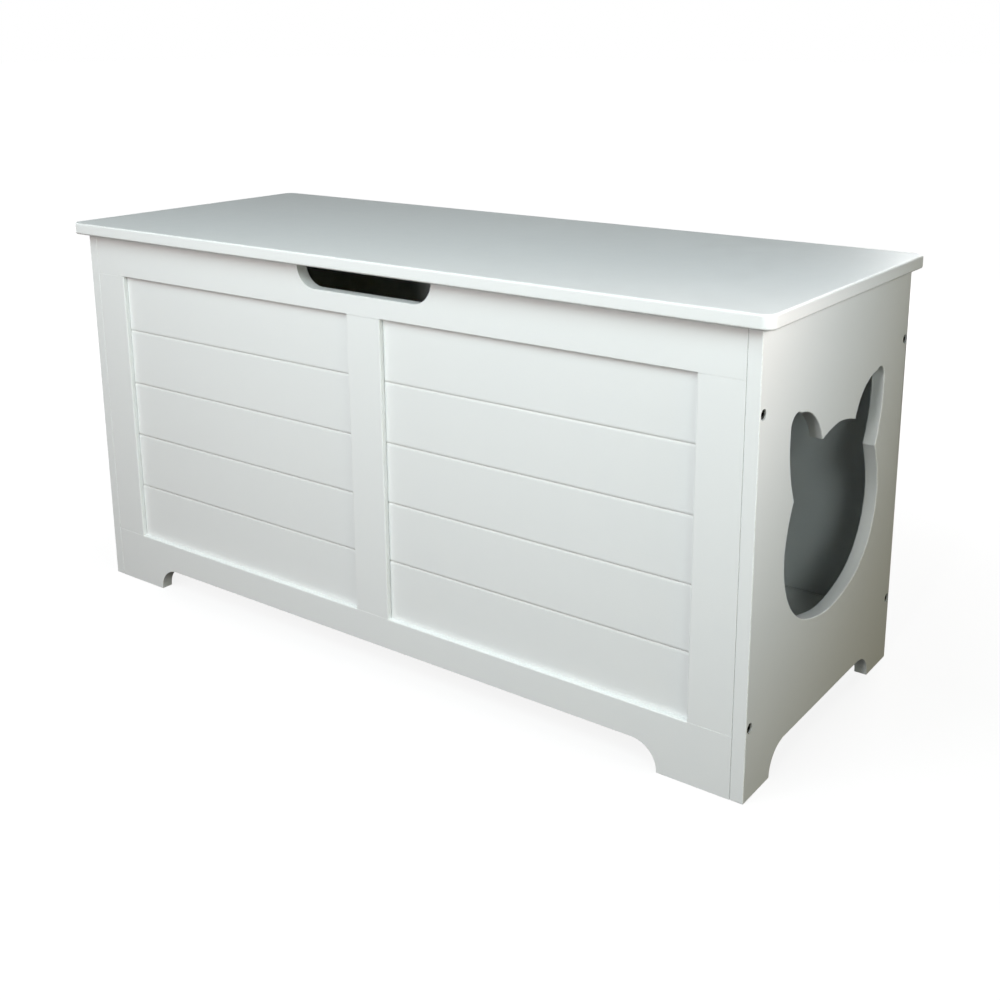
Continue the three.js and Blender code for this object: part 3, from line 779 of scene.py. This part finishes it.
def outward_of(node):
    """The way in which a small screw's head faces."""
    if "case_screw" in node:
        return (0, 0, 1)
    if "lid_screw" in node:
        return (0, 0, -1)
    if "wall_screw" in node:
        return (1, 0, 0)
    return (0, 1, 0) if "front" in node else (0, -1, 0)


small_screws = [node for node in nodes if "_screw_" in node and slots[node] == "hardware"]
for name in sorted(small_screws):
    low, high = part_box(name)
    piece = set_in_place(small_screw(max(high - low)), name, outward_of(name))
print(len(small_screws), "small screws,", len(piece.data.polygons), "faces each")

# %% [markdown]
# ## Butt hinges
# A hinge leaf is pressed from a strip. Tabs at its edge are rolled round the pin and make the knuckles.
# A box with tubes on it would show hard seams where the tube meets the leaf. A sheet is closer to the real
# thing: the rim of each screw hole is a circle, drawn out to the leaf's outline. The edges of the tabs are
# drawn out to the pin and spun round it, and Solidify gives the sheet its thickness.

# %% Drill the flat of a leaf
HOLE_GAP = 0.00012
LEAF_HOLE = SMALL_HEAD + HOLE_GAP
HOLE_STEPS = 32


def drilled_sheet(bm, low, high, z, hole):
    """A flat sheet with a screw hole: the rim of the hole, drawn out to the sheet's outline."""
    place = Matrix.Translation((hole.x, hole.y, z))
    rim = bmesh.ops.create_circle(bm, cap_ends=False, radius=LEAF_HOLE, segments=HOLE_STEPS, matrix=place)
    edges = {edge for vert in rim["verts"] for edge in vert.link_edges}
    made = bmesh.ops.extrude_edge_only(bm, edges=list(edges))["geom"]
    for vert in (part for part in made if isinstance(part, bmesh.types.BMVert)):
        away = vert.co.xy - hole
        away /= max(abs(away.x), abs(away.y))
        for axis in (0, 1):
            reach = high[axis] - hole[axis] if away[axis] > 0 else hole[axis] - low[axis]
            vert.co[axis] = hole[axis] + away[axis] * reach


def screw_places(leaf):
    """Where the two screws of a leaf are, seen from above, from left to right."""
    boxes = [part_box(leaf.replace("leaf", "screw_" + side)) for side in ("left", "right")]
    return [((low + high) / 2).xy for low, high in boxes]


print("leaf holes", round(LEAF_HOLE * 2000, 2), "mm across")

# %% Roll a tab into a knuckle
KNUCKLE = 0.0025
LEAF = 0.00085
ROLL_RADIUS = KNUCKLE - LEAF / 2
ROLL_START = math.radians(215)
ROLL_TURN = math.radians(322)
ROLL_STEPS = 18
hinge_axis = Vector(joints["lid_hinge"]["pos_m"])


def roll_tab(bm, start, end, y, z, up):
    """Draws a tab out from the leaf to the pin and rolls it round."""
    turn = Matrix.Rotation(-up * ROLL_START, 4, "X")
    landing = hinge_axis + turn @ Vector((0, ROLL_RADIUS, 0))
    edge = bm.edges.new([bm.verts.new((x, y, z)) for x in (start, end)])
    made = bmesh.ops.extrude_edge_only(bm, edges=[edge])["geom"]
    tip = [part for part in made if isinstance(part, bmesh.types.BMVert)]
    for vert in tip:
        vert.co.yz = landing.yz
    rim = [part for part in made if isinstance(part, bmesh.types.BMEdge)]
    roll = {"axis": ALONG_X, "cent": hinge_axis, "steps": ROLL_STEPS, "angle": -up * ROLL_TURN}
    bmesh.ops.spin(bm, geom=tip + rim, use_merge=False, **roll)


print("hinge axis", [round(value * 1000, 2) for value in hinge_axis], "mm")

# %% Make the hinge leaves
KNUCKLES = 5
KNUCKLE_GAP = 0.0003
PRESSED_ROUND = 0.00015


def make_leaf(node, first, up):
    """A leaf under the hinge axis, or over it where up is 1. It owns every other knuckle, from the first."""
    low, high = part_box(node)
    length = (high.x - low.x) / KNUCKLES
    edge_y = hinge_axis.y - KNUCKLE - 2 * KNUCKLE_GAP
    z = hinge_axis.z + up * (LEAF / 2 + KNUCKLE_GAP / 2)
    bm = bmesh.new()
    middle = (low.x + high.x) / 2
    left_hole, right_hole = screw_places(node)
    drilled_sheet(bm, (low.x, low.y), (middle, edge_y), z, left_hole)
    drilled_sheet(bm, (middle, low.y), (high.x, edge_y), z, right_hole)
    bmesh.ops.remove_doubles(bm, verts=bm.verts, dist=MERGE)
    for index in range(first, KNUCKLES, 2):
        start = low.x + index * length + KNUCKLE_GAP / 2
        end = start + length - KNUCKLE_GAP
        roll_tab(bm, start, end, edge_y, z, up)
    bmesh.ops.recalc_face_normals(bm, faces=bm.faces)
    piece = as_piece(bm, node)
    sheet = piece.modifiers.new("sheet_thickness", "SOLIDIFY")
    sheet.thickness = LEAF
    sheet.offset = 0.0
    edges = piece.modifiers.new("pressed_edges", "BEVEL")
    edges.width = PRESSED_ROUND
    edges.segments = 2
    edges.limit_method = "ANGLE"
    piece.modifiers.move(0, len(piece.modifiers) - 1)
    return piece


for side in ("left", "right"):
    make_leaf(f"hinge_{side}_case_leaf", 0, -1)
    leaf = make_leaf(f"hinge_{side}_lid_leaf", 1, 1)
print("hinge leaf", len(leaf.data.polygons), "faces before it gets its thickness")

# %% [markdown]
# ## Pins, rivets and bumpers
# A hinge pin has a small flat head at one end and a rounded nose at the other. A rivet's head is domed by
# the tool that sets it. A bumper is a soft button with a rounded rim. All three are spun profiles, and a
# dome is a quarter of an ellipse in a few steps.

# %% Helpers for pins and rivets
DOME_STEPS = 6
PIN_STEPS = 32


def dome(radius, base, height):
    """Profile points of a dome, from its rim at the base to its top on the axis."""
    angles = [step / DOME_STEPS * math.pi / 2 for step in range(DOME_STEPS + 1)]
    return [(radius * math.cos(angle), base + height * math.sin(angle)) for angle in angles]


def set_along_x(profile, node):
    """Spins a profile whose heights run along X from the node's low end, and sets it in place."""
    low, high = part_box(node)
    bm = close_turned(spun(profile, PIN_STEPS))
    turn = Matrix.Rotation(math.pi / 2, 4, "Y")
    middle = (low + high) / 2
    bm.transform(Matrix.Translation((low.x, middle.y, middle.z)) @ turn)
    return as_piece(bm, node)


def length_along_x(node):
    low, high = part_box(node)
    return high.x - low.x


print("a dome has", len(dome(1.0, 0.0, 1.0)), "points")

# %% Make the hinge pins
PIN = 0.0013
PIN_HEAD = 0.0021
PIN_HEAD_HEIGHT = 0.00065
NOSE = PIN * 0.6

for name in ("hinge_left_pin", "hinge_right_pin"):
    length = length_along_x(name)
    head = [(0.0, 0.0), (PIN_HEAD - EDGE_BREAK, 0.0), (PIN_HEAD, EDGE_BREAK), (PIN_HEAD, PIN_HEAD_HEIGHT)]
    pin = set_along_x([*head, (PIN, PIN_HEAD_HEIGHT), *dome(PIN, length - NOSE, NOSE)], name)
print("hinge pins", round(length * 1000, 1), "mm long,", len(pin.data.polygons), "faces each")

# %% Make the rivets
RIVET = 0.0025
RIVET_HEAD = 0.0046
RIVET_HEAD_HEIGHT = 0.0014
NEAR_HEADS = {"stay_wall_rivet": False, "stay_elbow_rivet": True, "stay_lid_rivet": True}

for name, near_head in NEAR_HEADS.items():
    shoulder = length_along_x(name) - RIVET_HEAD_HEIGHT
    far = [(RIVET, shoulder), *dome(RIVET_HEAD, shoulder, RIVET_HEAD_HEIGHT)]
    near = [(0.0, 0.0), (RIVET, 0.0)]
    if near_head:
        near = dome(RIVET_HEAD, RIVET_HEAD_HEIGHT, -RIVET_HEAD_HEIGHT)[::-1] + [(RIVET, RIVET_HEAD_HEIGHT)]
    rivet = set_along_x(near + far, name)
print("rivets", len(rivet.data.polygons), "faces each")

# %% Make the bumpers
BUMPER_RIM = 0.0009
BUMPER_STEPS = 40

for name in sorted(node for node in nodes if node.startswith("bumper")):
    low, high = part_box(name)
    radius = (high.x - low.x) / 2
    height = high.z - low.z
    rim = [(radius - BUMPER_RIM + r, h) for r, h in dome(BUMPER_RIM, height - BUMPER_RIM, BUMPER_RIM)]
    bm = close_turned(spun([(0.0, 0.0), (radius, 0.0), *rim, (0.0, height)], BUMPER_STEPS))
    middle = (low + high) / 2
    bm.transform(Matrix.Translation((middle.x, middle.y, low.z)))
    bumper = as_piece(bm, name)
print("bumpers", round(height * 1000, 1), "mm high,", len(bumper.data.polygons), "faces each")

# %% [markdown]
# ## The lid stay
# Wall plate, arms and lid bracket are stamped from 2 mm strip. A stamp leaves one edge rolled over and the
# other crisp, but at this size a fine even rounding reads the same. They are softened like the boards.

# %% Soften the stay's plates
STAMPED_ROUND = 0.00025
STAMPED_SHORTEST = 0.0009

for name in ("stay_wall_plate", "stay_lower_arm", "stay_upper_arm", "stay_lid_bracket"):
    softened(name, STAMPED_ROUND, segments=2, shortest=STAMPED_SHORTEST)

# %% [markdown]
# ## Floor and backdrop
# A white object on a white ground needs care: a bright floor would throw light up into every shadow.
# In a studio the object stands on a dark table and the background is made white afterwards.
# Here the floor glows for the eye alone, and only camera rays see it or the bright backdrop.
# The floor still returns a small part of the lights, and that keeps a soft shadow under the cabinet.
# The glow is a little weaker near the cabinet, a painted shade round it that the lamps lift again where
# they reach. Far away it is as bright as the backdrop, so that no horizon shows.

# %% Make the floor
WHITE = (1.0, 1.0, 1.0)
FLOOR_SIZE = 60.0
FLOOR_LIT = (0.12, 0.12, 0.12)
FLOOR_ROUGHNESS = 0.9
# Painted shade: the floor glows less near the cabinet.
GLOW_NEAR = 0.87
GLOW_FAR = 1.0
GLOW_START = 0.6
GLOW_END = 1.8


def make_floor():
    bm = bmesh.new()
    bmesh.ops.create_grid(bm, x_segments=4, y_segments=4, size=FLOOR_SIZE / 2)
    mesh = bpy.data.meshes.new("floor")
    bm.to_mesh(mesh)
    bm.free()
    finish = Finish("pale_floor")
    finish.set("Base Color", FLOOR_LIT)
    finish.set("Roughness", FLOOR_ROUGHNESS)
    away = finish.add("ShaderNodeVectorMath", operation="LENGTH")
    finish.link(finish.place, away.inputs[0])
    glow = ranged(finish, away.outputs["Value"], low=GLOW_START, high=GLOW_END, start=GLOW_NEAR, end=GLOW_FAR)
    finish.set("Emission Color", WHITE)
    finish.set("Emission Strength", glow)
    mesh.materials.append(finish.material)
    floor = bpy.data.objects.new("floor", mesh)
    floor.visible_diffuse = False
    floor.visible_glossy = False
    bpy.context.scene.collection.objects.link(floor)


make_floor()
print("the floor glows with", GLOW_NEAR, "within", GLOW_START, "m and", GLOW_FAR, "beyond", GLOW_END, "m")

# %% Make the backdrop
ROOM_LIGHT = 0.07


def make_backdrop():
    world = bpy.data.worlds.new("room")
    bpy.context.scene.world = world
    world.use_nodes = True
    tree = world.node_tree
    air = tree.nodes["Background"]
    air.inputs["Color"].default_value = (*WHITE, 1.0)
    path = tree.nodes.new("ShaderNodeLightPath")
    choice = tree.nodes.new("ShaderNodeMapRange")
    choice.inputs["To Min"].default_value = ROOM_LIGHT
    choice.inputs["To Max"].default_value = GLOW_FAR
    tree.links.new(path.outputs["Is Camera Ray"], choice.inputs["Value"])
    tree.links.new(choice.outputs["Result"], air.inputs["Strength"])


make_backdrop()
print("the backdrop lights the cabinet with", ROOM_LIGHT)

# %% [markdown]
# ## Film
# A camera turns deep shade into black. A tone curve could be drawn by hand for that, but two numbers do it:
# a black level, and a gamma a little under 1 that adds contrast while the paint keeps its whites.

# %% Set up the film
CAMERA_BLACK = 0.006
CAMERA_CONTRAST = 0.93


def set_up_film():
    view = bpy.context.scene.view_settings
    view.view_transform = "Standard"
    view.gamma = CAMERA_CONTRAST
    view.use_curve_mapping = True
    view.curve_mapping.black_level = (CAMERA_BLACK,) * 3
    view.curve_mapping.update()


set_up_film()
print("film:", bpy.context.scene.view_settings.view_transform, "with gamma", CAMERA_CONTRAST)

# %% [markdown]
# ## Lights
# A soft studio could be one big panel of light, but the photograph shows more than that: an even front, a
# darker lid, and a side that falls off from its front edge to its back foot.
# Three lights stand in front, a small one to the right and large ones to the left and above. They make the
# front and the lid.
# The key light at the front right draws the shadows in the recesses of the panels. It aims through the
# doorway and lifts the far part of the back board. A low warm light far to the right gives the side its tone.
# Two lamps at the right aim past the side board, at the air in front of it, so that only the soft rim of each
# beam falls on the board. This is called feathering, and it makes the side fall off.
# One light behind and one at the far side keep the back and the left board clear in other views.
# The strengths and tints were worked out, not guessed: each light was rendered alone, and the mix that comes
# nearest to the tones of the photograph was solved for.

# %% Helpers for lights
MIDDLE = (0.0, 0.0, 0.25)
DOORWAY = (0.35, -0.15, 0.35)
LAMP_RADIUS = 0.2


def place_light(data, place, aim, watts, colour):
    data.energy = watts
    data.color = colour
    light = bpy.data.objects.new(data.name, data)
    light.location = place
    light.rotation_mode = "QUATERNION"
    light.rotation_quaternion = (Vector(aim) - Vector(place)).to_track_quat("-Z", "Y")
    bpy.context.scene.collection.objects.link(light)


def broad_light(name, place, size, watts, colour=WHITE, aim=MIDDLE):
    """A square panel of light, aimed at a point."""
    data = bpy.data.lights.new(name, "AREA")
    data.shape = "SQUARE"
    data.size = size
    place_light(data, place, aim, watts, colour)


def feathered_lamp(name, place, aim, beam, watts, colour):
    """A lamp whose beam fades out all the way from its middle to its rim."""
    data = bpy.data.lights.new(name, "SPOT")
    data.spot_size = math.radians(beam)
    data.spot_blend = 1.0
    data.shadow_soft_size = LAMP_RADIUS
    place_light(data, place, aim, watts, colour)


print("broad lights aim at", MIDDLE, "and lamps are", LAMP_RADIUS, "m in radius")

# %% Make the lights
COOL = (0.86, 0.98, 1.0)
COOL_GREEN = (0.91, 1.0, 0.98)
COOL_BLUE = (0.82, 0.88, 1.0)
ROSY = (1.0, 0.83, 0.78)
PEACH = (1.0, 0.82, 0.73)
AMBER = (1.0, 0.76, 0.20)
OFF_FRONT_EDGE = (0.485, -0.35, 0.6)
OFF_TOP_EDGE = (0.485, -0.5, 0.7)

broad_light("front_light", (0.64, -2.3, 1.0), size=0.2, watts=13.2)
broad_light("left_light", (-0.6, -2.0, 1.0), size=0.8, watts=10.6, colour=ROSY)
broad_light("top_light", (0.0, -1.2, 1.5), size=1.0, watts=18.0, colour=COOL)
broad_light("key_light", (1.45, -0.8, 1.0), size=0.4, watts=5.3, colour=COOL_GREEN, aim=DOORWAY)
broad_light("low_right_light", (2.93, -0.52, 0.67), size=1.2, watts=8.4, colour=AMBER)
broad_light("back_light", (0.3, 2.4, 1.0), size=1.2, watts=30.0)
broad_light("far_side_light", (-2.6, 0.3, 0.6), size=1.0, watts=22.0)
feathered_lamp("edge_lamp", (1.75, -0.21, 0.89), OFF_FRONT_EDGE, beam=60.0, watts=44.4, colour=COOL_BLUE)
feathered_lamp("rim_lamp", (1.68, 0.11, 1.0), OFF_TOP_EDGE, beam=40.0, watts=91.8, colour=PEACH)

# %% [markdown]
